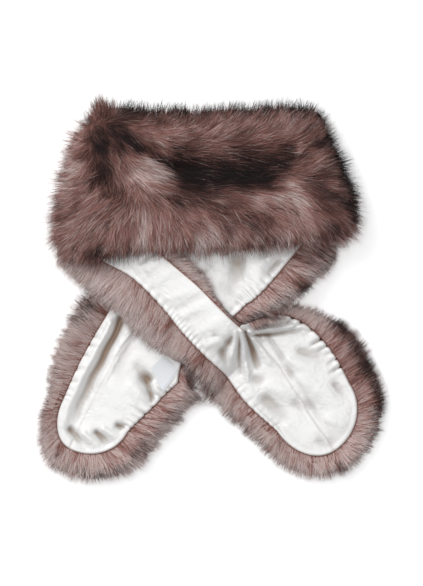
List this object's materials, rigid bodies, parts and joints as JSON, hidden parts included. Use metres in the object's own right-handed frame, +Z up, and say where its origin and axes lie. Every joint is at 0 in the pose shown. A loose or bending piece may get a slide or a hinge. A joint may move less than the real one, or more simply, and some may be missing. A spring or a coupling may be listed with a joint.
{
  "type": "fur collar wrap",
  "caption": "Faux-fur pull-through neck wrap laid flat: fur collar on top, round satin-lined ends crossed through a slit below it.",
  "frame": {"origin": "on the surface it lies on, under the middle of its footprint", "axes": "+X to the right and +Y to the collar's top edge as seen from above, +Z up off the surface"},
  "size_m": [0.363, 0.3996, 0.0591],
  "materials": {
    "fur": "deep dusty brown pile with dark tips",
    "satin": "ivory satin, glossy",
    "label": "plain white woven ribbon"
  },
  "bodies": {
    "root": {"collar_fur": "fur", "left_stretch_fur": "fur", "left_stretch_under_half": "fur", "right_stretch_fur": "fur", "left_lining_outer_half": "satin", "left_lining_inner_half": "satin", "right_lining_outer_half": "satin", "right_lining_inner_half": "satin", "care_label": "label"}
  },
  "joints": []
}
